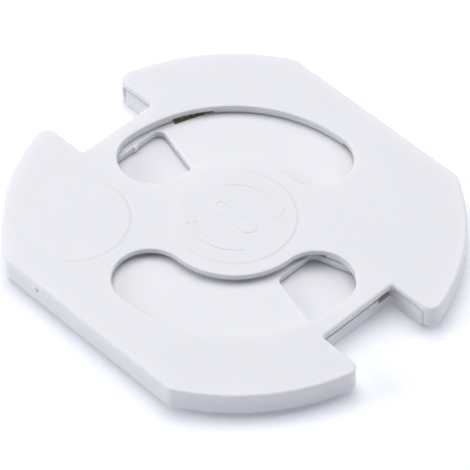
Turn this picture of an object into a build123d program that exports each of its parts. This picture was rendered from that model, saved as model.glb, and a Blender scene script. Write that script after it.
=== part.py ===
from build123d import *
import os
from math import atan2, cos, degrees, hypot, pi, radians, sin, tan

os.makedirs("parts", exist_ok=True)

# ---------------------------------------------------------------------------
# Twist-to-open safety cover for a round recessed earthed socket.
# Millimetres. +Z is up, away from the socket. The origin is the centre of the
# disc, on the underside of the adhesive pads. X runs from flat to flat, which
# is also the line of the socket's two pin holes. Y runs from earth-clip notch
# to earth-clip notch.
# ---------------------------------------------------------------------------

# --- heights (all above the underside of the pads) ---
Z_BASE = 0.05        # underside of the base
Z_FLOOR = 0.95       # floor under the shutter
Z_CHANNEL = 0.85     # floor of the spring channel
Z_BACKWALL = 1.45    # top of the low wall behind each notch
Z_SLOT = 1.02        # the same wall where the spring's end shows
Z_BLOCK = 1.86       # top of the base's lobes
Z_PLATE = 2.05       # underside of the cover plate
Z_TOP = 2.55         # top of the cover plate
Z_SKIRT = 0.46       # lower edge of the skirt
Z_SHUT0 = 1.04       # underside of the shutter
Z_SHUT1 = 1.65       # top of the shutter
Z_RIM = 1.80         # lower edge of the rim along each window's outer side

# --- cover outline ---
R_COVER = 18.95      # outer radius
X_FLAT = 16.45       # centre to flat
NOTCH_HALF = 3.95    # half the notch's width
NOTCH_IN = 14.0      # centre to the notch's back edge
WALL = 1.0           # skirt wall
R_CORNER = 1.0       # outer plan corners
R_CORNER_IN = 0.25   # inner corners of the notches
R_EDGE = 0.26        # rounding along the top edge
PIN_R = 9.5          # centre to each plug pin (19 mm pin spacing)
WINDOW_HALF = 3.1    # half the width of the curved windows
RIM_HALF = 3.5       # outside of the rim along each window's outer side
RIM_A0, RIM_A1 = 53.5, 70.0   # the rim stops here, over the end of the spring
R_RIM_END = 8.3      # and at this radius on the window's round end

# --- marks on the cover's face ---
R_MEDAL = 5.1        # round raised centre field
H_MEDAL = 0.08
R_SPOT = 4.65        # round raised spot on one lobe
H_SPOT = 0.065
SPOT_XY = (-9.55, 9.0)
H_SIGN = 0.045       # relief of the twist sign

# --- base ---
GAP = 0.10           # between the skirt and the base
X_BASE_FLAT = X_FLAT - WALL - GAP
R_BASE = R_COVER - WALL - GAP
BASE_NOTCH_IN = 13.85
BASE_NOTCH_HALF = 4.0
R_POCKET = 13.05
CH_R0, CH_R1 = 12.6, 14.05   # spring channel
CH_A0, CH_A1 = -78.0, 76.0   # its ends, degrees
R_HUB = 3.0
R_KEY = 4.2
KEY_HALF = 7.5       # degrees
PIN_HOLE_R = 3.0
PEG_R = 0.75
PEG_CLEAR = 0.02
PEG_AT = 16.0        # radius of the four pegs
R_THRUST0, R_THRUST1 = 4.7, 5.8

# --- shutter ---
R_SHUTTER = 12.95
BORE_CLEAR = 0.05
OPEN_HALF = 14.8     # degrees, from an opening's middle to its side along the window
OPEN_END = 18.6      # and to its side at the window's end
OPEN_IN, OPEN_OUT = 6.70, 12.06
TAB_A0, TAB_A1 = 69.4, 75.5
TAB_R = 13.92
RELIEF_R = 12.35     # the rim cut back in front of each tab
RELIEF_A = 54.0

# --- return springs: compression coils lying in the curved channels ---
SPRING_R = 13.5
SPRING_Z = 1.42
COIL_R = 0.40
WIRE_R = 0.10
SPRING_A0, SPRING_A1 = -77.8, 68.9
TURNS = 34

# --- adhesive pads ---
PAD_R = 12.2
PAD_Y = 4.2
PAD_H = 0.45
PAD_POCKET = 0.40

BIG = 60.0


def pol(r, a):
    return (r * cos(radians(a)), r * sin(radians(a)))


def slab(sketch, z0, z1):
    return extrude(Pos(0, 0, z0) * sketch, amount=z1 - z0)


def sector(r0, r1, a0, a1, z0, z1):
    """Ring segment from angle a0 to a1, counter-clockwise."""
    am = (a0 + a1) / 2
    p = [pol(r0, a0), pol(r1, a0), pol(r1, am), pol(r1, a1), pol(r0, a1), pol(r0, am)]
    wire = Wire([
        Line(p[0], p[1]).edge(),
        ThreePointArc(p[1], p[2], p[3]).edge(),
        Line(p[3], p[4]).edge(),
        ThreePointArc(p[4], p[5], p[0]).edge(),
    ])
    return slab(Sketch() + make_face(wire.edges()), z0, z1)


def half_turn(shape):
    return Rot(0, 0, 180) * shape


def outline(r, flat, notch_half=None, notch_in=None):
    s = Circle(r) & Rectangle(2 * flat, BIG)
    if notch_half:
        depth = r + 2 - notch_in
        for side in (1, -1):
            s -= Pos(0, side * (notch_in + depth / 2)) * Rectangle(2 * notch_half, depth)
    return s


def window(half, a0=0.0, a1=90.0):
    """Curved slot on the pin circle with full round ends."""
    am = (a0 + a1) / 2
    r0, r1 = PIN_R - half, PIN_R + half
    band = [pol(r0, a0), pol(r1, a0), pol(r1, am), pol(r1, a1), pol(r0, a1), pol(r0, am)]
    wire = Wire([
        Line(band[0], band[1]).edge(),
        ThreePointArc(band[1], band[2], band[3]).edge(),
        Line(band[3], band[4]).edge(),
        ThreePointArc(band[4], band[5], band[0]).edge(),
    ])
    s = Sketch() + make_face(wire.edges())
    for a in (a0, a1):
        s += Pos(*pol(PIN_R, a)) * Circle(half)
    return s


def save(shape, name):
    shape.label = name
    export_step(shape, f"parts/{name}.step")
    print(name, "solids", len(shape.solids()), "valid", shape.is_valid, "volume", round(shape.volume, 3))


# ---------------------------------------------------------------------------
# Cover: thin plate with a skirt along the arcs and flats, open at the notches
# ---------------------------------------------------------------------------
plan = outline(R_COVER, X_FLAT, NOTCH_HALF, NOTCH_IN)
deep = [v for v in plan.vertices() if abs(abs(v.Y) - NOTCH_IN) < 0.01 and abs(v.X) < 5]
plan = fillet(deep, R_CORNER_IN)
outer = [v for v in plan.vertices() if hypot(v.X, v.Y) > R_COVER - 0.01]
plan = fillet(outer, R_CORNER)
inner = outline(R_COVER - WALL, X_FLAT - WALL)

cover = slab(plan, Z_SKIRT, Z_TOP)
top_edges = cover.faces().sort_by(Axis.Z)[-1].outer_wire().edges()
cover = fillet(top_edges, R_EDGE)
low_edges = cover.faces().sort_by(Axis.Z)[0].outer_wire().edges()
cover = fillet(low_edges, 0.10)
cover -= slab(inner, Z_SKIRT - 1, Z_PLATE)
# two curved windows from the closed to the open place of each pin
win = window(WINDOW_HALF)
for k in (0, 1):
    w = slab(win, Z_PLATE - 1, Z_TOP + 1)
    cover -= half_turn(w) if k else w
rim = cover.faces().filter_by(Axis.Z).sort_by(Axis.Z)[-1].inner_wires()
cover = fillet([e for wr in rim for e in wr.edges()], 0.12)

# rim hanging from the outer side of each window, just clear of the shutter
rim = slab(window(RIM_HALF) - win, Z_RIM, Z_PLATE)
rim -= sector(PIN_R + 1, PIN_R + 5, RIM_A0, RIM_A1, Z_RIM - 1, Z_PLATE + 1)
rim -= Pos(0, 0, Z_PLATE) * Cylinder(R_RIM_END, 4)
rim -= Pos(0, -5, Z_PLATE) * Box(40, 10, 4)
cover += rim
cover += half_turn(rim)
# thrust ring over the shutter's hub
cover += slab(Circle(R_THRUST1) - Circle(R_THRUST0), Z_SHUT1 + 0.05, Z_PLATE)
# four pegs that press into the base
for a in (45, 135, 225, 315):
    x, y = pol(PEG_AT, a)
    peg = Pos(x, y, (1.0 + Z_PLATE) / 2) * Cylinder(PEG_R, Z_PLATE - 1.0)
    peg = chamfer(peg.edges().sort_by(Axis.Z)[0], 0.15)
    cover += peg

# raised centre field and the round spot on one lobe
medal = Pos(0, 0, Z_TOP + H_MEDAL / 2) * Cylinder(R_MEDAL, H_MEDAL)
medal = fillet(medal.edges().sort_by(Axis.Z)[-1], 0.06)
cover += medal
spot = Pos(SPOT_XY[0], SPOT_XY[1], Z_TOP + H_SPOT / 2) * Cylinder(R_SPOT, H_SPOT)
spot = fillet(spot.edges().sort_by(Axis.Z)[-1], 0.045)
cover += spot - slab(window(WINDOW_HALF + 0.25), Z_TOP - 1, Z_TOP + 1) - half_turn(
    slab(window(WINDOW_HALF + 0.25), Z_TOP - 1, Z_TOP + 1))

# twist sign: two curved arrows, clockwise, on either side of a straight grip bar
z0, z1 = Z_TOP + H_MEDAL - 0.02, Z_TOP + H_MEDAL + H_SIGN
for base_a in (0, 180):
    a_tail, a_tip = base_a + 58, base_a - 44
    cover += sector(3.45, 3.75, a_tip + 10, a_tail, z0, z1)
    tip = Polyline([pol(3.05, a_tip + 11), pol(4.15, a_tip + 11), pol(3.62, a_tip - 6), pol(3.05, a_tip + 11)])
    cover += slab(Sketch() + make_face(tip.edges()), z0, z1)
bar = SlotOverall(4.6, 1.5) - SlotOverall(4.0, 0.9)
cover += Rot(0, 0, 90) * slab(bar, z0, z1)

# small moulding dimple in one flat
cover -= Pos(-X_FLAT, 5.8, Z_TOP - 0.80) * Rot(0, 90, 0) * Cylinder(0.22, 0.5)
save(cover, "cover")

# ---------------------------------------------------------------------------
# Base: floor, solid lobes, shutter pocket, spring channels and hub
# ---------------------------------------------------------------------------
bplan = outline(R_BASE, X_BASE_FLAT, BASE_NOTCH_HALF, BASE_NOTCH_IN)
base = slab(bplan, Z_BASE, Z_BLOCK)
vertical = [e for e in base.edges().filter_by(Axis.Z)]
base = fillet(vertical, 0.2)
base = chamfer(base.faces().sort_by(Axis.Z)[0].outer_wire().edges(), 0.12)

# low walls behind the notches
for side in (1, -1):
    base -= Pos(0, side * 13.4, Z_BACKWALL + 5) * Box(2 * BASE_NOTCH_HALF, 3.0, 10)
# shutter pocket
base -= Pos(0, 0, Z_FLOOR + 5) * Cylinder(R_POCKET, 10)
# spring channels
channel = sector(CH_R0, CH_R1, CH_A0, CH_A1, Z_CHANNEL, Z_BLOCK + 1)
base -= channel
base -= half_turn(channel)
# lower wall where each spring's end shows in its notch
step = Pos(3.3, -13.4, Z_SLOT + 5) * Box(1.5, 2.0, 10)
base -= step
base -= half_turn(step)
# round holes for the plug pins
for side in (1, -1):
    base -= Pos(side * PIN_R, 0, Z_BASE) * Cylinder(PIN_HOLE_R, 4)
# hub with two keys that stop the shutter at both ends of its turn
hub = Pos(0, 0, (Z_FLOOR - 0.1 + Z_PLATE) / 2) * Cylinder(R_HUB, Z_PLATE - Z_FLOOR + 0.1)
hub += sector(R_HUB - 0.5, R_KEY, -KEY_HALF, KEY_HALF, Z_FLOOR - 0.1, 1.62)
hub += sector(R_HUB - 0.5, R_KEY, 180 - KEY_HALF, 180 + KEY_HALF, Z_FLOOR - 0.1, 1.62)
base += hub
# sockets for the cover's pegs, each with a small raised shoulder
for a in (45, 135, 225, 315):
    x, y = pol(PEG_AT, a)
    base += Pos(x, y, (Z_BLOCK - 0.05 + Z_PLATE) / 2) * Cylinder(1.25, Z_PLATE - Z_BLOCK + 0.05)
    base -= Pos(x, y, 0.9 + 5) * Cylinder(PEG_R + PEG_CLEAR, 10)
# shallow pockets for the adhesive pads
pad_plan = Circle(PAD_R) & Pos(0, PAD_Y + 10) * Rectangle(BIG, 20)
pad_plan = fillet(pad_plan.vertices(), 0.8)
pocket_plan = Circle(PAD_R + 0.05) & Pos(0, PAD_Y - 0.05 + 10) * Rectangle(BIG, 20)
pocket_plan = fillet(pocket_plan.vertices(), 0.8)
pocket = slab(pocket_plan, Z_BASE - 1, Z_BASE + PAD_POCKET)
base -= pocket
base -= half_turn(pocket)
save(base, "base")

# ---------------------------------------------------------------------------
# Shutter: disc that turns with the plug's pins
# ---------------------------------------------------------------------------
shutter = slab(Circle(R_SHUTTER), Z_SHUT0, Z_SHUT1)
# rim cut back in front of each tab, so that the coil seats close to it
cut = Polyline([
    pol(RELIEF_R, TAB_A0), pol(R_SHUTTER + 1.2, TAB_A0), pol(R_SHUTTER + 1.2, RELIEF_A),
    pol(R_SHUTTER + 0.02, RELIEF_A), pol(RELIEF_R, TAB_A0)])
cut = slab(Sketch() + make_face(cut.edges()), Z_SHUT0 - 1, Z_SHUT1 + 1)
shutter -= cut
shutter -= half_turn(cut)
# tabs that push the springs
tab = sector(R_SHUTTER - 0.6, TAB_R, TAB_A0, TAB_A1, Z_SHUT0, Z_SHUT1)
tab += sector(R_SHUTTER + 0.13, TAB_R, TAB_A0, TAB_A1, Z_CHANNEL + 0.10, Z_SHUT0)
shutter += tab
shutter += half_turn(tab)
# bore and the two arcs that run past the hub's keys
shutter -= Pos(0, 0, 1.3) * Cylinder(R_HUB + BORE_CLEAR, 4)
slot_a0, slot_a1 = -KEY_HALF - 0.5, 90 + KEY_HALF + 0.5
arc = sector(R_HUB - 0.5, R_KEY + 0.1, slot_a0, slot_a1, Z_SHUT0 - 1, Z_SHUT1 + 1)
shutter -= arc
shutter -= half_turn(arc)
# keystone openings that hold a 4.8 mm pin
k, ke = tan(radians(OPEN_HALF)), tan(radians(OPEN_END))
opening = Polyline([
    (-OPEN_IN * ke, OPEN_IN), (OPEN_IN * k, OPEN_IN),
    (OPEN_OUT * k, OPEN_OUT), (-OPEN_OUT * ke, OPEN_OUT), (-OPEN_IN * ke, OPEN_IN)])
opening = Sketch() + make_face(opening.edges())
opening = fillet(opening.vertices(), 0.7)
opening -= Pos(0.25, OPEN_OUT) * Rectangle(0.5, 0.26)
opening = slab(opening, Z_SHUT0 - 1, Z_SHUT1 + 1)
shutter -= opening
shutter -= half_turn(opening)
save(shutter, "shutter")

# ---------------------------------------------------------------------------
# Return springs
# ---------------------------------------------------------------------------
steps = TURNS * 12
pts = []
for i in range(steps + 1):
    t = i / steps
    a = radians(SPRING_A0 + (SPRING_A1 - SPRING_A0) * t)
    ph = 2 * pi * TURNS * t
    q = SPRING_R + COIL_R * cos(ph)
    pts.append((q * cos(a), q * sin(a), SPRING_Z + COIL_R * sin(ph)))
path = Edge.make_spline([Vector(*p) for p in pts])
spring = sweep(Plane(origin=path @ 0, z_dir=path % 0) * Circle(WIRE_R), path=path, is_frenet=True)
save(spring, "return_spring_right")
save(half_turn(spring), "return_spring_left")

# ---------------------------------------------------------------------------
# Adhesive pads on the underside
# ---------------------------------------------------------------------------
pad = slab(pad_plan, 0, PAD_H)
save(pad, "adhesive_pad_rear")
save(half_turn(pad), "adhesive_pad_front")
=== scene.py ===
import math

import bpy
import bmesh
import numpy as np
from mathutils import Matrix, Vector
from mathutils.geometry import delaunay_2d_cdt


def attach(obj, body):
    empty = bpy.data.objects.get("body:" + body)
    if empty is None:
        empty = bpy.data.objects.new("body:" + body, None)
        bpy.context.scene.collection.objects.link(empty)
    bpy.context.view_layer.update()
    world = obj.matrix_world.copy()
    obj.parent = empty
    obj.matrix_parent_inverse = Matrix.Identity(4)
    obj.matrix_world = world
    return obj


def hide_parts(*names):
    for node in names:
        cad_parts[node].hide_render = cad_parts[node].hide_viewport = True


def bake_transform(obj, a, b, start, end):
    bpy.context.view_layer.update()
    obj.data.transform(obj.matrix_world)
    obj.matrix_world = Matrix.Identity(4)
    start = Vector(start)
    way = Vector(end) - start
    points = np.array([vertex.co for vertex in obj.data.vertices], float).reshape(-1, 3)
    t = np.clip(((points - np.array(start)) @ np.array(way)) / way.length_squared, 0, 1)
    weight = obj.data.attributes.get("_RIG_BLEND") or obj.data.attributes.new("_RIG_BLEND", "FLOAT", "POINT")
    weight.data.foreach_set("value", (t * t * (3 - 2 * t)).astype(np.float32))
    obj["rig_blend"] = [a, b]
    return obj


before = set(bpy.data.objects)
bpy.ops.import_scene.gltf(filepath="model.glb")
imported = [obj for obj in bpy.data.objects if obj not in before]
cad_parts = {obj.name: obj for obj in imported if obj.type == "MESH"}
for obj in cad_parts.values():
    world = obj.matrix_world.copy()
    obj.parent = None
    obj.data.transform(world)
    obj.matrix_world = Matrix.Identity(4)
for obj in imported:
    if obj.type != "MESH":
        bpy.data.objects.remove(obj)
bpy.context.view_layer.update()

MM = 0.001
scene = bpy.context.scene

# ---------------------------------------------------------------------------
# Sizes in millimetres, the same as the construction's
# ---------------------------------------------------------------------------
Z_PLATE, Z_TOP, Z_SKIRT = 2.05, 2.55, 0.46
R_COVER, X_FLAT = 18.95, 16.45
NOTCH_HALF, NOTCH_IN = 3.95, 14.0
WALL, R_CORNER, R_CORNER_IN, R_EDGE = 1.0, 1.0, 0.25, 0.26
PIN_R, WINDOW_HALF = 9.5, 3.1
RIM_HALF, Z_RIM, RIM_A0, RIM_A1, RIM_END = 3.5, 1.80, 53.5, 70.0, 211.0
R_MEDAL, H_MEDAL = 5.1, 0.08
R_SPOT, H_SPOT, SPOT_XY = 4.65, 0.065, (-9.55, 9.0)
SOFT = 0.15          # half width of the raised fields' soft edges
H_SIGN = 0.045
R_THRUST0, R_THRUST1, Z_THRUST = 4.7, 5.8, 1.70
PEG_R, PEG_AT, Z_PEG = 0.75, 16.0, 1.0
SPRING_R, SPRING_Z, COIL_R, WIRE_R = 13.5, 1.42, 0.40, 0.10
SPRING_A0, SPRING_A1, TURNS = -77.8, 68.9, 64
DIMPLE_Y, DIMPLE_Z, DIMPLE_R = 5.8, 1.75, 0.22


# ---------------------------------------------------------------------------
# Outlines: closed runs of points, each with the direction that points out of
# the material. The material lies on the left of the way of travel.
# ---------------------------------------------------------------------------
def unit(v):
    v = np.asarray(v, float)
    return v / np.hypot(*v)


class Run:
    def __init__(self):
        self.p, self.n = [], []

    def line(self, a, b, parts=1):
        d = unit((b[0] - a[0], b[1] - a[1]))
        for i in range(parts):
            t = i / parts
            self.p.append((a[0] + (b[0] - a[0]) * t, a[1] + (b[1] - a[1]) * t))
            self.n.append((d[1], -d[0]))
        return self

    def arc(self, c, r, a0, a1, step=2.0):
        k = max(2, int(math.ceil(abs(a1 - a0) / step)))
        s = 1.0 if a1 > a0 else -1.0
        for i in range(k):
            a = math.radians(a0 + (a1 - a0) * i / k)
            self.p.append((c[0] + r * math.cos(a), c[1] + r * math.sin(a)))
            self.n.append((s * math.cos(a), s * math.sin(a)))
        return self

    def spot(self, c, r, a):
        a = math.radians(a)
        self.p.append((c[0] + r * math.cos(a), c[1] + r * math.sin(a)))
        self.n.append((math.cos(a), math.sin(a)))
        return self

    def arrays(self):
        return np.array(self.p, float), np.array(self.n, float)


def turned(pn, a=180.0):
    p, n = pn
    c, s = round(math.cos(math.radians(a)), 12), round(math.sin(math.radians(a)), 12)
    m = np.array([[c, s], [-s, c]])
    return p @ m, n @ m


def joined(*pns):
    return np.vstack([p for p, _ in pns]), np.vstack([n for _, n in pns])


def circle(c, r, step=3.0, hole=False):
    q = Run()
    q.arc(c, r, 360.0 if hole else 0.0, 0.0 if hole else 360.0, step)
    return q.arrays()


def mitred(points):
    """A closed polygon with mitre directions, so that an inset moves each side by the same amount."""
    p = np.array(points, float)
    d = np.roll(p, -1, 0) - p
    d /= np.hypot(d[:, 0], d[:, 1])[:, None]
    nr = np.c_[d[:, 1], -d[:, 0]]
    nl = np.roll(nr, 1, 0)
    m = (nl + nr) / np.maximum(1 + (nl * nr).sum(1), 0.25)[:, None]
    return p, m


def ring(pn, inset, z):
    p, n = pn
    q = p - inset * n
    return np.c_[q, np.full(len(q), float(z))]


# ---------------------------------------------------------------------------
# Shells: faces gathered by position, closed, with weighted corner normals
# ---------------------------------------------------------------------------
class Shell:
    def __init__(self):
        self.v, self.f, self.w, self.key = [], [], [], {}

    def vid(self, p):
        k = (round(p[0] * 2e4), round(p[1] * 2e4), round(p[2] * 2e4))
        i = self.key.get(k)
        if i is None:
            i = len(self.v)
            self.key[k] = i
            self.v.append((float(p[0]), float(p[1]), float(p[2])))
        return i

    def face(self, pts, w=1.0):
        ids = []
        for p in pts:
            i = self.vid(p)
            if not ids or ids[-1] != i:
                ids.append(i)
        if len(ids) > 1 and ids[0] == ids[-1]:
            ids.pop()
        if len(set(ids)) == len(ids) >= 3:
            self.f.append(ids)
            self.w.append(w)

    def skin(self, a, b, closed=True, w=1.0, skip=()):
        n = len(a)
        for i in range(n if closed else n - 1):
            if i in skip:
                continue
            j = (i + 1) % n
            self.face([a[i], a[j], b[j], b[i]], w)

    def stack(self, rings, closed=True, w=1.0, skip=()):
        for a, b in zip(rings, rings[1:]):
            self.skin(a, b, closed, w, skip)

    def cap(self, loops, w=1000.0, axes=(0, 1)):
        """Flat face between closed loops (3-D points in one plane), with even-odd filling."""
        ax, ay = axes
        pts, edges, sizes = [], [], []
        for lp in loops:
            s = len(pts)
            lp = np.asarray(lp)
            for q in lp:
                pts.append(Vector((float(q[ax]), float(q[ay]))))
            m = len(lp)
            edges += [(s + i, s + (i + 1) % m) for i in range(m)]
            sizes.append((s, m))
        allp = np.vstack([np.asarray(lp) for lp in loops])
        vs, es, fs, ov, oe, of_ = delaunay_2d_cdt(pts, edges, [], 0, 1e-7)
        back = []
        for i, o in enumerate(ov):
            if o:
                back.append(allp[o[0]])
            else:
                q = np.array(allp[0], float)
                q[ax], q[ay] = vs[i][0], vs[i][1]
                back.append(q)
        tri = np.array([list(f) for f in fs])
        vv = np.array([(v[0], v[1]) for v in vs])
        c = vv[tri].mean(1)
        inside = np.zeros(len(c), bool)
        for lp in loops:
            lp = np.asarray(lp)
            x0, y0 = lp[:, ax], lp[:, ay]
            x1, y1 = np.roll(x0, -1), np.roll(y0, -1)
            for k0 in range(0, len(c), 4000):
                cc = c[k0:k0 + 4000]
                cond = (y0[None] > cc[:, 1:2]) != (y1[None] > cc[:, 1:2])
                with np.errstate(divide="ignore", invalid="ignore"):
                    xi = (x1 - x0)[None] * (cc[:, 1:2] - y0[None]) / (y1 - y0)[None] + x0[None]
                hit = cond & (cc[:, 0:1] < xi)
                inside[k0:k0 + 4000] ^= (hit.sum(1) % 2).astype(bool)
        for t in tri[inside]:
            self.face([back[i] for i in t], w)

    def build(self, name, angle=38.0):
        me = bpy.data.meshes.new(name)
        me.from_pydata([tuple(c * MM for c in p) for p in self.v], [], self.f)
        me.update()
        att = me.attributes.new("weight", "FLOAT", "FACE")
        att.data.foreach_set("value", np.array(self.w, np.float32))
        bm = bmesh.new()
        bm.from_mesh(me)
        bmesh.ops.remove_doubles(bm, verts=bm.verts, dist=2e-8)
        bmesh.ops.recalc_face_normals(bm, faces=bm.faces)
        vol = bm.calc_volume(signed=True)
        if vol < 0:
            bmesh.ops.reverse_faces(bm, faces=bm.faces)
        rough = sum(1 for e in bm.edges if not e.is_manifold)
        print(name, "faces", len(bm.faces), "open edges", rough, "volume mm3", round(abs(vol) * 1e9, 2))
        bm.to_mesh(me)
        bm.free()
        shade(me, angle)
        ob = bpy.data.objects.new(name, me)
        scene.collection.objects.link(ob)
        return ob


def shade(me, angle=38.0):
    """Smooth shading with face-weighted normals, kept sharp past the angle."""
    nf = len(me.polygons)
    area = np.zeros(nf, np.float32)
    me.polygons.foreach_get("area", area)
    nrm = np.zeros(nf * 3, np.float32)
    me.polygons.foreach_get("normal", nrm)
    nrm = nrm.reshape(-1, 3).astype(float)
    att = me.attributes.get("weight")
    w = np.ones(nf, np.float32)
    if att is not None:
        att.data.foreach_get("value", w)
    wt = area.astype(float) * 1e6 * w + 1e-9
    nl = len(me.loops)
    lv = np.zeros(nl, np.int32)
    me.loops.foreach_get("vertex_index", lv)
    tot = np.zeros(nf, np.int32)
    me.polygons.foreach_get("loop_total", tot)
    lf = np.repeat(np.arange(nf), tot)
    order = np.argsort(lv, kind="stable")
    starts = np.searchsorted(lv[order], np.arange(len(me.vertices) + 1))
    cosa = math.cos(math.radians(angle))
    out = np.zeros((nl, 3))
    for i in range(len(me.vertices)):
        ls = order[starts[i]:starts[i + 1]]
        if not len(ls):
            continue
        f = lf[ls]
        nn = nrm[f]
        ok = (nn @ nn.T) > cosa
        s = (ok * wt[f][None, :]) @ nn
        out[ls] = s / np.maximum(np.linalg.norm(s, axis=1), 1e-12)[:, None]
    me.polygons.foreach_set("use_smooth", np.ones(nf, bool))
    me.normals_split_custom_set([tuple(x) for x in out])
    if att is not None:
        me.attributes.remove(me.attributes["weight"])
    me.update()


def round_down(pn, z, r, k=6, sign=1.0):
    """Rings of a quarter-round edge: from the flat at height z to the wall, r lower."""
    out = []
    for i in range(k + 1):
        t = math.pi / 2 * i / k
        out.append(ring(pn, r * (1 - math.sin(t)), z - sign * r * (1 - math.cos(t))))
    return out


# ---------------------------------------------------------------------------
# Cover
# ---------------------------------------------------------------------------
def cover_outline():
    r, R, ri = R_CORNER, R_COVER, R_CORNER_IN
    y_a = math.sqrt((R - r) ** 2 - (X_FLAT - r) ** 2)
    y_b = math.sqrt((R - r) ** 2 - (NOTCH_HALF + r) ** 2)
    a_a = math.degrees(math.atan2(y_a, X_FLAT - r))
    a_b = math.degrees(math.atan2(y_b, NOTCH_HALF + r))
    # where the skirt's inner side runs out on the rounded corner beside each notch
    Ri = R - WALL
    g = a_b + 2 * math.degrees(math.asin(0.5 * r / Ri))
    a_t = math.degrees(math.atan2(Ri * math.sin(math.radians(g)) - y_b, Ri * math.cos(math.radians(g)) - NOTCH_HALF - r))
    h = Run()
    h.line((X_FLAT, -y_a), (X_FLAT, -DIMPLE_Y - 0.5)).line((X_FLAT, -DIMPLE_Y - 0.5), (X_FLAT, -DIMPLE_Y + 0.5))
    h.line((X_FLAT, -DIMPLE_Y + 0.5), (X_FLAT, y_a))
    h.arc((X_FLAT - r, y_a), r, 0, a_a, 4)
    h.arc((0, 0), R, a_a, a_b, 1.5)
    h.arc((NOTCH_HALF + r, y_b), r, a_b, a_t - 10, 5)
    h.spot((NOTCH_HALF + r, y_b), r, a_t - 10)
    i1 = len(h.p)
    h.arc((NOTCH_HALF + r, y_b), r, a_t, 180, 5)
    h.line((NOTCH_HALF, y_b), (NOTCH_HALF, NOTCH_IN + ri))
    h.arc((NOTCH_HALF - ri, NOTCH_IN + ri), ri, 0, -90, 10)
    h.line((NOTCH_HALF - ri, NOTCH_IN), (-NOTCH_HALF + ri, NOTCH_IN))
    h.arc((-NOTCH_HALF + ri, NOTCH_IN + ri), ri, -90, -180, 10)
    h.line((-NOTCH_HALF, NOTCH_IN + ri), (-NOTCH_HALF, y_b))
    h.arc((-NOTCH_HALF - r, y_b), r, 0, 180 - a_t, 5)
    i2 = len(h.p)
    h.spot((-NOTCH_HALF - r, y_b), r, 180 - a_t)
    h.arc((-NOTCH_HALF - r, y_b), r, 190 - a_t, 180 - a_b, 5)
    h.arc((0, 0), R, 180 - a_b, 180 - a_a, 1.5)
    h.arc((-X_FLAT + r, y_a), r, 180 - a_a, 180, 4)
    half = h.arrays()
    n = len(half[0])
    whole = joined(half, turned(half))
    # inner side of the right-hand skirt, from the top notch to the bottom one
    xf, rf = X_FLAT - WALL, 0.4
    y_f = math.sqrt((Ri - rf) ** 2 - (xf - rf) ** 2)
    g_f = math.degrees(math.atan2(y_f, xf - rf))
    s = Run()
    s.arc((0, 0), Ri, g, g_f, 2)
    s.arc((xf - rf, y_f), rf, g_f, 0, 12)
    s.line((xf, y_f), (xf, -y_f))
    s.arc((xf - rf, -y_f), rf, 0, -g_f, 12)
    s.arc((0, 0), Ri, -g_f, -g, 2)
    inner = s.arrays()
    idx = lambda k: k % (2 * n)
    right_out = [idx(k) for k in range(n + i2, 2 * n + i1 + 1)]
    left_out = [idx(k) for k in range(i2, n + i1 + 1)]
    return whole, inner, right_out, left_out, i1, i2, n


def window_outline(w):
    """The curved window, and the places along it where the rim starts and stops."""
    r0, r1 = PIN_R - w, PIN_R + w
    q, at = Run(), []
    q.arc((0, 0), r1, 90, RIM_A1, 1.5)
    at.append(len(q.p))
    q.arc((0, 0), r1, RIM_A1, RIM_A0, 1.5)
    at.append(len(q.p))
    q.arc((0, 0), r1, RIM_A0, 0, 1.5)
    at.append(len(q.p))
    q.arc((PIN_R, 0), w, 0, -180, 4)
    q.arc((0, 0), r0, 0, 90, 2.5)
    q.arc((0, PIN_R), w, -90, RIM_END - 360, 4)
    at.append(len(q.p))
    q.arc((0, PIN_R), w, RIM_END - 360, -270, 4)
    return q.arrays(), at


def rim_loops():
    """The two stretches of rim, and the edge of the plate's underside around window and rims."""
    (win, _), (k70, k50, k0, k200) = window_outline(WINDOW_HALF)
    (out, _), _ = window_outline(RIM_HALF)
    long_way = list(range(k200, len(win))) + list(range(0, k70 + 1))
    short_way = list(range(k50, k0 + 1))
    rims = [mitred(np.vstack([out[w[::-1]], win[w]])) for w in (long_way, short_way)]
    around = np.vstack([win[k70:k50 + 1], out[k50:k0 + 1], win[k0:k200 + 1], out[long_way]])
    return rims, around


def arrow_outline(turn):
    tail, tip = turn + 58.0, turn - 44.0
    pts = []
    for a in np.linspace(tail, tip + 11, 20):
        pts.append((3.45, a))
    pts += [(3.05, tip + 11), (3.62, tip - 6), (4.15, tip + 11)]
    for a in np.linspace(tip + 11, tail, 20):
        pts.append((3.75, a))
    pts = [(r * math.cos(math.radians(a)), r * math.sin(math.radians(a))) for r, a in pts]
    area = sum(a[0] * b[1] - b[0] * a[1] for a, b in zip(pts, pts[1:] + pts[:1]))
    return mitred(pts if area > 0 else pts[::-1])


def bar_outline(length, width, hole=False):
    h, r = (length - width) / 2, width / 2
    q = Run()
    if not hole:
        q.arc((0, h), r, 0, 180, 8)
        q.line((-r, h), (-r, -h))
        q.arc((0, -h), r, 180, 360, 8)
        q.line((r, -h), (r, h))
    else:
        q.arc((0, h), r, 180, 0, 8)
        q.line((r, h), (r, -h))
        q.arc((0, -h), r, 0, -180, 8)
        q.line((-r, -h), (-r, h))
    return q.arrays()


def soft_step(pn, z, h, k=8):
    """A low raised edge as a soft S-shaped ramp, from 0.15 mm outside the outline to 0.15 mm inside it."""
    return [ring(pn, -SOFT + 2 * SOFT * i / k, z + h * (3 * (i / k) ** 2 - 2 * (i / k) ** 3)) for i in range(k + 1)]


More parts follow.
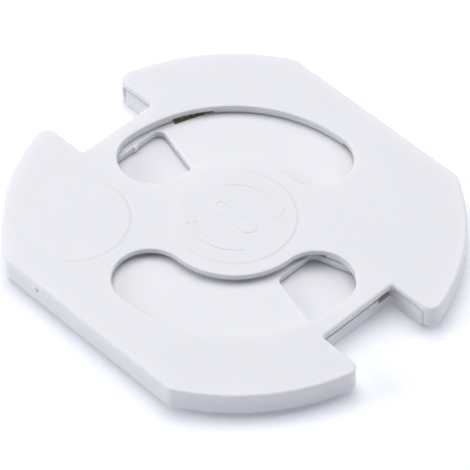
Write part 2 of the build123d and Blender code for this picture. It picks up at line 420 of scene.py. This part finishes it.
def make_cover():
    sh = Shell()
    whole, inner, right_out, left_out, i1, i2, n = cover_outline()
    win = window_outline(WINDOW_HALF)[0]
    rims, around = rim_loops()
    rims += [turned(c) for c in rims]
    arounds = [around, turned((around, around))[0]]
    wins = [win, turned(win)]
    medal = circle((0, 0), R_MEDAL, 2.5)
    spot = circle(SPOT_XY, R_SPOT, 2.5)

    # outer edge: quarter round, then the plate's own wall
    sh.stack(round_down(whole, Z_TOP, R_EDGE, 7))
    sh.skin(ring(whole, 0, Z_TOP - R_EDGE), ring(whole, 0, Z_PLATE), w=30)
    for w in wins:
        sh.stack(round_down(w, Z_TOP, 0.12, 5))
        sh.skin(ring(w, 0, Z_TOP - 0.12), ring(w, 0, Z_PLATE), w=30)
    for c in rims:
        sh.skin(ring(c, 0, Z_PLATE), ring(c, 0, Z_RIM + 0.03), w=30)
        sh.skin(ring(c, 0, Z_RIM + 0.03), ring(c, 0.03, Z_RIM))
        sh.cap([ring(c, 0.03, Z_RIM)])
    sh.cap([ring(whole, R_EDGE, Z_TOP)] + [ring(w, 0.12, Z_TOP) for w in wins] + [ring(medal, -SOFT, Z_TOP), ring(spot, -SOFT, Z_TOP)])

    # raised spot on one lobe
    sh.stack(soft_step(spot, Z_TOP, H_SPOT))
    sh.cap([ring(spot, SOFT, Z_TOP + H_SPOT)])

    # raised centre field with the twist sign
    zm = Z_TOP + H_MEDAL
    sh.stack(soft_step(medal, Z_TOP, H_MEDAL))
    signs = [arrow_outline(0), arrow_outline(180), bar_outline(4.6, 1.5)]
    bar_in = bar_outline(4.0, 0.9, hole=True)
    sh.cap([ring(medal, SOFT, zm)] + [ring(s, 0, zm) for s in signs])
    for s in signs:
        sh.skin(ring(s, 0, zm), ring(s, 0.012, zm + H_SIGN - 0.018), w=2)
        sh.skin(ring(s, 0.012, zm + H_SIGN - 0.018), ring(s, 0.03, zm + H_SIGN))
    for s in signs[:2]:
        sh.cap([ring(s, 0.03, zm + H_SIGN)])
    sh.cap([ring(signs[2], 0.03, zm + H_SIGN), ring(bar_in, 0.03, zm + H_SIGN)])
    sh.skin(ring(bar_in, 0.03, zm + H_SIGN), ring(bar_in, 0.012, zm + H_SIGN - 0.018))
    sh.skin(ring(bar_in, 0.012, zm + H_SIGN - 0.018), ring(bar_in, 0, zm), w=2)
    sh.cap([ring(bar_in, 0, zm)])

    # the two skirts
    for k, out in ((0, right_out), (1, left_out)):
        inn = turned(inner) if k else inner
        s = joined((whole[0][out], whole[1][out]), (inn[0][1:], inn[1][1:]))
        m = len(out)
        for i in (0, m - 1):        # the sharp edge where the skirt ends beside a notch
            n1, n2 = s[1][i].copy(), -unit(s[0][i])
            s[1][i] = (n1 + n2) / (1 + n1 @ n2)
        skip = []
        if k:
            for i in range(m - 1):
                a, b = s[0][i], s[0][i + 1]
                if abs(a[0] + X_FLAT) < 1e-6 and abs(b[0] + X_FLAT) < 1e-6 and min(a[1], b[1]) < DIMPLE_Y < max(a[1], b[1]):
                    skip.append(i)
        z1, z0 = Z_PLATE, Z_SKIRT + 0.10
        sh.skin(ring(s, 0, z1), ring(s, 0, z0), w=30, skip=skip)
        for i in skip:
            a, b = s[0][i], s[0][i + 1]
            frame_pts = [(-X_FLAT, a[1], z1), (-X_FLAT, b[1], z1), (-X_FLAT, b[1], z0), (-X_FLAT, a[1], z0)]
            steps = [(DIMPLE_R + 0.03, 0.0), (DIMPLE_R, 0.03), (DIMPLE_R - 0.02, 0.12), (DIMPLE_R - 0.07, 0.20), (DIMPLE_R - 0.14, 0.235)]
            hoops = []
            for rr, dd in steps:
                aa = np.linspace(0, 2 * math.pi, 25)[:-1]
                hoops.append(np.c_[np.full(24, -X_FLAT + dd), DIMPLE_Y + rr * np.cos(aa), DIMPLE_Z + rr * np.sin(aa)])
            sh.cap([np.array(frame_pts), hoops[0]], axes=(1, 2))
            sh.stack(hoops)
            sh.cap([hoops[-1]], w=1, axes=(1, 2))
        for i in range(4):
            t0, t1 = math.pi / 2 * i / 4, math.pi / 2 * (i + 1) / 4
            f = lambda t: ring(s, 0.10 * (1 - math.cos(t)), z0 - 0.10 * math.sin(t))
            sh.skin(f(t0), f(t1))
        sh.cap([ring(s, 0.10, Z_SKIRT)])

    # underside of the plate, with the thrust ring and the pegs
    left_in = turned(inner)
    under = np.vstack([
        whole[0][i1:i2 + 1], left_in[0][::-1][:-1],
        whole[0][n + i1:n + i2 + 1], inner[0][::-1][:-1]])
    under = np.c_[under, np.full(len(under), Z_PLATE)]
    t_out, t_in = circle((0, 0), R_THRUST1, 4), circle((0, 0), R_THRUST0, 4, hole=True)
    pegs = [circle((PEG_AT * math.cos(math.radians(a)), PEG_AT * math.sin(math.radians(a))), PEG_R, 12) for a in (45, 135, 225, 315)]
    sh.cap([under] + [np.c_[a, np.full(len(a), Z_PLATE)] for a in arounds] + [ring(t_out, 0, Z_PLATE)] + [ring(p, 0, Z_PLATE) for p in pegs])
    sh.cap([ring(t_in, 0, Z_PLATE)])
    sh.stack([ring(t_out, 0, Z_PLATE), ring(t_out, 0, Z_THRUST + 0.05), ring(t_out, 0.05, Z_THRUST)], w=3)
    sh.stack([ring(t_in, 0, Z_PLATE), ring(t_in, 0, Z_THRUST + 0.05), ring(t_in, 0.05, Z_THRUST)], w=3)
    sh.cap([ring(t_out, 0.05, Z_THRUST), ring(t_in, 0.05, Z_THRUST)])
    for p in pegs:
        sh.stack([ring(p, 0, Z_PLATE), ring(p, 0, Z_PEG + 0.15), ring(p, 0.15, Z_PEG)], w=3)
        sh.cap([ring(p, 0.15, Z_PEG)])
    return sh.build("cover_shell")


# ---------------------------------------------------------------------------
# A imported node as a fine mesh: same shape, softened edges, even shading
# ---------------------------------------------------------------------------
def softened(node, name, width=0.04, segments=2, angle=35.0):
    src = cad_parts[node]
    me = src.data.copy()
    me.name = name
    me.materials.clear()
    bm = bmesh.new()
    bm.from_mesh(me)
    bmesh.ops.remove_doubles(bm, verts=bm.verts, dist=2e-8)
    bmesh.ops.dissolve_limit(bm, angle_limit=math.radians(0.4), use_dissolve_boundaries=False, verts=bm.verts, edges=bm.edges)
    sharp = [e for e in bm.edges if len(e.link_faces) == 2 and e.calc_face_angle(0) > math.radians(angle)]
    if width > 0:
        bmesh.ops.bevel(bm, geom=sharp, offset=width * MM, offset_type="OFFSET", segments=segments, profile=0.5,
                        affect="EDGES", clamp_overlap=True, loop_slide=True)
    bmesh.ops.remove_doubles(bm, verts=bm.verts, dist=2e-8)
    bmesh.ops.triangulate(bm, faces=[f for f in bm.faces if len(f.verts) > 4], quad_method="BEAUTY", ngon_method="BEAUTY")
    bmesh.ops.recalc_face_normals(bm, faces=bm.faces)
    rough = sum(1 for e in bm.edges if not e.is_manifold)
    print(name, "faces", len(bm.faces), "open edges", rough, "volume mm3", round(bm.calc_volume() * 1e9, 2))
    bm.to_mesh(me)
    bm.free()
    if me.has_custom_normals:
        me.attributes.remove(me.attributes["custom_normal"])
    shade(me, 32.0)
    ob = bpy.data.objects.new(name, me)
    scene.collection.objects.link(ob)
    return ob


# ---------------------------------------------------------------------------
# Springs: the coil as a fine tube, bending along its channel as it is squeezed
# ---------------------------------------------------------------------------
def make_spring(name, turn):
    per, sides = 20, 8
    steps = TURNS * per
    verts, faces, share = [], [], []
    base = math.radians(turn)
    for i in range(steps + 1):
        t = i / steps
        u = t
        a = math.radians(SPRING_A0 + (SPRING_A1 - SPRING_A0) * u) + base
        ph = 2 * math.pi * TURNS * t
        tang = np.array([-math.sin(a), math.cos(a), 0.0])
        rad = np.array([math.cos(a), math.sin(a), 0.0])
        up = np.array([0.0, 0.0, 1.0])
        c = rad * (SPRING_R + COIL_R * math.cos(ph)) + up * (SPRING_Z + COIL_R * math.sin(ph))
        da = math.radians(SPRING_A1 - SPRING_A0)
        dph = 2 * math.pi * TURNS
        d = tang * (SPRING_R + COIL_R * math.cos(ph)) * da + (-rad * math.sin(ph) + up * math.cos(ph)) * COIL_R * dph
        d /= np.linalg.norm(d)
        e1 = rad * math.cos(ph) + up * math.sin(ph)
        e1 -= d * (e1 @ d)
        e1 /= np.linalg.norm(e1)
        e2 = np.cross(d, e1)
        for s in range(sides):
            q = 2 * math.pi * s / sides
            verts.append(tuple((c + WIRE_R * (e1 * math.cos(q) + e2 * math.sin(q))) * MM))
            share.append(u)
    for i in range(steps):
        for s in range(sides):
            s2 = (s + 1) % sides
            faces.append((i * sides + s, i * sides + s2, (i + 1) * sides + s2, (i + 1) * sides + s))
    faces.append(tuple(range(sides))[::-1])
    faces.append(tuple(steps * sides + s for s in range(sides)))
    me = bpy.data.meshes.new(name)
    me.from_pydata(verts, [], faces)
    me.update()
    bm = bmesh.new()
    bm.from_mesh(me)
    bmesh.ops.recalc_face_normals(bm, faces=bm.faces)
    bm.to_mesh(me)
    bm.free()
    me.polygons.foreach_set("use_smooth", [len(p.vertices) == 4 for p in me.polygons])
    ob = bpy.data.objects.new(name, me)
    scene.collection.objects.link(ob)
    c, s = math.cos(base), math.sin(base)
    put = lambda a: (SPRING_R * MM * math.cos(math.radians(a) + base), SPRING_R * MM * math.sin(math.radians(a) + base), SPRING_Z * MM)
    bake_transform(ob, "root", "shutter", start=put(SPRING_A0), end=put(SPRING_A1))
    # even along the arc, so that every coil closes by the same amount
    me.attributes["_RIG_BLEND"].data.foreach_set("value", np.array(share, np.float32))
    return ob


# ---------------------------------------------------------------------------
# Materials
# ---------------------------------------------------------------------------
def new_material(name):
    m = bpy.data.materials.new(name)
    m.use_nodes = True
    t = m.node_tree
    t.nodes.clear()
    out = t.nodes.new("ShaderNodeOutputMaterial")
    bsdf = t.nodes.new("ShaderNodeBsdfPrincipled")
    t.links.new(bsdf.outputs["BSDF"], out.inputs["Surface"])
    return m, t, bsdf


def node(t, kind, **values):
    n = t.nodes.new(kind)
    for k, v in values.items():
        if k.startswith("_"):
            setattr(n, k[1:], v)
        else:
            n.inputs[k.replace("__", " ")].default_value = v
    return n


def noise(t, co, scale, detail=3.0, rough=0.5):
    n = t.nodes.new("ShaderNodeTexNoise")
    n.inputs["Scale"].default_value = scale
    n.inputs["Detail"].default_value = detail
    n.inputs["Roughness"].default_value = rough
    t.links.new(co, n.inputs["Vector"])
    return n


def ramp(t, fac, stops):
    n = t.nodes.new("ShaderNodeValToRGB")
    while len(n.color_ramp.elements) > len(stops):
        n.color_ramp.elements.remove(n.color_ramp.elements[-1])
    while len(n.color_ramp.elements) < len(stops):
        n.color_ramp.elements.new(0.5)
    for e, (p, c) in zip(n.color_ramp.elements, stops):
        e.position = p
        e.color = (*c, 1.0) if len(c) == 3 else c
    t.links.new(fac, n.inputs["Fac"])
    return n


def plastic(name, colour, tint, grain=0.5, rough=0.46):
    """White moulded plastic: faint flow clouding, fine spark-eroded grain, and a painted highlight that makes edges
    slightly lighter.
    """
    m, t, b = new_material(name)
    co = t.nodes.new("ShaderNodeTexCoord").outputs["Object"]
    cloud = noise(t, co, 140.0, 2.0, 0.5)
    speck = noise(t, co, 1500.0, 3.0, 0.6)
    base = ramp(t, cloud.outputs["Fac"], [(0.30, tint), (0.70, colour)])
    # painted highlight: base colour made a little lighter along edges, found from the difference between the rounded
    # and the true normal
    geo = t.nodes.new("ShaderNodeNewGeometry")
    bev = t.nodes.new("ShaderNodeBevel")
    bev.samples = 4
    bev.inputs["Radius"].default_value = 0.00025
    dot = t.nodes.new("ShaderNodeVectorMath")
    dot.operation = "DOT_PRODUCT"
    t.links.new(bev.outputs["Normal"], dot.inputs[0])
    t.links.new(geo.outputs["Normal"], dot.inputs[1])
    edge = ramp(t, dot.outputs["Value"], [(0.80, (1, 1, 1)), (0.995, (0, 0, 0))])
    painted_edge_highlight_mix = t.nodes.new("ShaderNodeMix")
    painted_edge_highlight_mix.data_type = "RGBA"
    t.links.new(edge.outputs["Color"], painted_edge_highlight_mix.inputs["Factor"])
    t.links.new(base.outputs["Color"], painted_edge_highlight_mix.inputs[6])
    # painted highlight colour: the base colour 3 % lighter
    painted_edge_highlight_mix.inputs[7].default_value = (min(1, colour[0] * 1.03), min(1, colour[1] * 1.03), min(1, colour[2] * 1.03), 1)
    t.links.new(painted_edge_highlight_mix.outputs[2], b.inputs["Base Color"])
    # roughness
    rr = t.nodes.new("ShaderNodeMapRange")
    rr.inputs["From Min"].default_value = 0.3
    rr.inputs["From Max"].default_value = 0.7
    rr.inputs["To Min"].default_value = rough - 0.05
    rr.inputs["To Max"].default_value = rough + 0.06
    t.links.new(speck.outputs["Fac"], rr.inputs["Value"])
    t.links.new(rr.outputs["Result"], b.inputs["Roughness"])
    # grain and a very slight waviness
    fine = noise(t, co, 5200.0, 2.0, 0.55)
    b1 = t.nodes.new("ShaderNodeBump")
    b1.inputs["Strength"].default_value = 0.30 * grain
    b1.inputs["Distance"].default_value = 0.00004
    t.links.new(fine.outputs["Fac"], b1.inputs["Height"])
    b2 = t.nodes.new("ShaderNodeBump")
    b2.inputs["Strength"].default_value = 0.25
    b2.inputs["Distance"].default_value = 0.00006
    wav = noise(t, co, 260.0, 1.0, 0.4)
    t.links.new(wav.outputs["Fac"], b2.inputs["Height"])
    t.links.new(b1.outputs["Normal"], b2.inputs["Normal"])
    t.links.new(b2.outputs["Normal"], b.inputs["Normal"])
    b.inputs["IOR"].default_value = 1.5
    b.inputs["Specular IOR Level"].default_value = 0.45
    b.inputs["Subsurface Weight"].default_value = 0.45
    b.inputs["Subsurface Radius"].default_value = (1.0, 0.86, 0.80)
    b.inputs["Subsurface Scale"].default_value = 0.0010
    return m


def wire(name):
    """Drawn brass wire: dull, with a fine bump grain and darker tarnish in patches."""
    m, t, b = new_material(name)
    co = t.nodes.new("ShaderNodeTexCoord").outputs["Object"]
    tar = noise(t, co, 700.0, 4.0, 0.6)
    col = ramp(t, tar.outputs["Fac"], [(0.30, (0.86, 0.68, 0.24)), (0.52, (0.96, 0.80, 0.34)), (0.75, (1.0, 0.88, 0.46))])
    t.links.new(col.outputs["Color"], b.inputs["Base Color"])
    b.inputs["Metallic"].default_value = 0.05
    rr = t.nodes.new("ShaderNodeMapRange")
    rr.inputs["To Min"].default_value = 0.28
    rr.inputs["To Max"].default_value = 0.50
    t.links.new(tar.outputs["Fac"], rr.inputs["Value"])
    t.links.new(rr.outputs["Result"], b.inputs["Roughness"])
    st = noise(t, co, 9000.0, 2.0, 0.5)
    bp = t.nodes.new("ShaderNodeBump")
    bp.inputs["Strength"].default_value = 0.2
    bp.inputs["Distance"].default_value = 0.00001
    t.links.new(st.outputs["Fac"], bp.inputs["Height"])
    t.links.new(bp.outputs["Normal"], b.inputs["Normal"])
    return m


def foam(name):
    """Closed-cell foam tape: small pits and cells, matt, slightly yellowed, with painted shade darkening the pits."""
    m, t, b = new_material(name)
    co = t.nodes.new("ShaderNodeTexCoord").outputs["Object"]
    vor = t.nodes.new("ShaderNodeTexVoronoi")
    vor.feature = "F1"
    vor.inputs["Scale"].default_value = 4200.0
    t.links.new(co, vor.inputs["Vector"])
    cl = noise(t, co, 320.0, 3.0, 0.55)
    col = ramp(t, cl.outputs["Fac"], [(0.30, (0.66, 0.64, 0.56)), (0.70, (0.76, 0.745, 0.68))])
    # painted shade: colour darkened towards each cell's centre, where the bump sinks into a pit
    pit = ramp(t, vor.outputs["Distance"], [(0.10, (0.72, 0.72, 0.72)), (0.45, (1, 1, 1))])
    painted_pit_shade_mix = t.nodes.new("ShaderNodeMix")
    painted_pit_shade_mix.data_type = "RGBA"
    painted_pit_shade_mix.blend_type = "MULTIPLY"
    painted_pit_shade_mix.inputs["Factor"].default_value = 0.6
    t.links.new(col.outputs["Color"], painted_pit_shade_mix.inputs[6])
    t.links.new(pit.outputs["Color"], painted_pit_shade_mix.inputs[7])
    t.links.new(painted_pit_shade_mix.outputs[2], b.inputs["Base Color"])
    rr = t.nodes.new("ShaderNodeMapRange")
    rr.inputs["To Min"].default_value = 0.62
    rr.inputs["To Max"].default_value = 0.86
    t.links.new(cl.outputs["Fac"], rr.inputs["Value"])
    t.links.new(rr.outputs["Result"], b.inputs["Roughness"])
    bp = t.nodes.new("ShaderNodeBump")
    bp.inputs["Strength"].default_value = 0.7
    bp.inputs["Distance"].default_value = 0.00006
    t.links.new(vor.outputs["Distance"], bp.inputs["Height"])
    t.links.new(bp.outputs["Normal"], b.inputs["Normal"])
    return m


mat_cover = plastic("cover_plastic", (0.812, 0.810, 0.834), (0.799, 0.797, 0.823), 0.5, 0.46)
mat_base = plastic("base_plastic", (0.810, 0.805, 0.830), (0.794, 0.790, 0.817), 0.8, 0.50)
mat_shutter = plastic("shutter_plastic", (0.814, 0.813, 0.836), (0.801, 0.800, 0.824), 0.35, 0.42)
mat_wire = wire("spring_wire_finish")
mat_foam = foam("foam_tape")

cover = make_cover()
cover.data.materials.append(mat_cover)
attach(cover, "root")
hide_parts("cover")

base = softened("base", "base_moulding", 0.05, 2)
base.data.materials.append(mat_base)
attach(base, "root")
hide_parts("base")

shutter = softened("shutter", "shutter_disc", 0.07, 3)
shutter.data.materials.append(mat_shutter)
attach(shutter, "shutter")
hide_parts("shutter")

for nm, cad, turn in (("spring_coil_right", "return_spring_right", 0.0), ("spring_coil_left", "return_spring_left", 180.0)):
    s = make_spring(nm, turn)
    s.data.materials.append(mat_wire)
    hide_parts(cad)

for cad in ("adhesive_pad_rear", "adhesive_pad_front"):
    p = softened(cad, cad.replace("adhesive_pad", "foam_pad"), 0.08, 3)
    p.data.materials.append(mat_foam)
    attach(p, "root")
    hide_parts(cad)

# ---------------------------------------------------------------------------
# Floor, light and camera
# ---------------------------------------------------------------------------
me = bpy.data.meshes.new("floor")
me.from_pydata([(-0.6, -0.6, 0), (0.6, -0.6, 0), (0.6, 0.6, 0), (-0.6, 0.6, 0)], [], [(0, 1, 2, 3)])
floor = bpy.data.objects.new("floor", me)
scene.collection.objects.link(floor)
floor.location.z = -0.00002
mf, tf, bf = new_material("floor_paper")
bf.inputs["Base Color"].default_value = (0.93, 0.94, 0.97, 1)
bf.inputs["Roughness"].default_value = 0.9
bf.inputs["Emission Color"].default_value = (0.90, 0.92, 1.0, 1)
bf.inputs["Emission Strength"].default_value = 0.12
bf.inputs["Specular IOR Level"].default_value = 0.1
floor.data.materials.append(mf)

world = bpy.data.worlds.new("studio")
scene.world = world
world.use_nodes = True
wt = world.node_tree
wt.nodes.clear()
wo = wt.nodes.new("ShaderNodeOutputWorld")
wb = wt.nodes.new("ShaderNodeBackground")
wb.inputs["Color"].default_value = (0.84, 0.87, 1.0, 1)
wb.inputs["Strength"].default_value = 0.24
wt.links.new(wb.outputs["Background"], wo.inputs["Surface"])


def area(name, at, target, size, power, colour=(1, 1, 1)):
    d = bpy.data.lights.new(name, "AREA")
    d.shape = "DISK"
    d.size = size
    d.energy = power
    d.color = colour
    o = bpy.data.objects.new(name, d)
    scene.collection.objects.link(o)
    o.location = at
    v = Vector(target) - Vector(at)
    o.rotation_mode = "QUATERNION"
    o.rotation_quaternion = v.to_track_quat("-Z", "Y")
    return o


# image left is (-x, +y); the camera stands at (-x, -y)
area("top_soft", (0.07, 0.12, 0.40), (0, 0, 0), 0.38, 1.22, (1.0, 0.990, 0.972))
area("left_soft", (-0.28, 0.26, 0.19), (0, 0, 0), 0.24, 0.66, (0.98, 0.99, 1.0))
area("right_fill", (0.32, -0.16, 0.28), (0, 0, 0), 0.26, 0.46, (0.95, 0.97, 1.0))

AZ, EL, ROLL = -44.741, 47.884, 0.446
DIST, FOCAL, TX, TY = 279.185, 3430.182, -0.031, 1.494
a, e, r = math.radians(AZ), math.radians(EL), math.radians(ROLL)
back = Vector((math.sin(a) * math.cos(e), -math.cos(a) * math.cos(e), math.sin(e)))
right = Vector((0, 0, 1)).cross(back).normalized()
up = back.cross(right)
right, up = math.cos(r) * right + math.sin(r) * up, -math.sin(r) * right + math.cos(r) * up
pos = (right * -TX + up * -TY + back * DIST) * MM + Vector((0, 0, Z_TOP * MM))
cam_data = bpy.data.cameras.new("camera")
cam_data.sensor_width = 36.0
cam_data.lens = FOCAL * 36.0 / 470.0
cam_data.clip_start, cam_data.clip_end = 0.01, 10.0
cam = bpy.data.objects.new("camera", cam_data)
scene.collection.objects.link(cam)
cam.matrix_world = Matrix((
    (right.x, up.x, back.x, pos.x),
    (right.y, up.y, back.y, pos.y),
    (right.z, up.z, back.z, pos.z),
    (0, 0, 0, 1)))
scene.camera = cam

scene.view_settings.view_transform = "Standard"
scene.view_settings.look = "None"
scene.view_settings.exposure = 0.0
scene.view_settings.gamma = 1.0
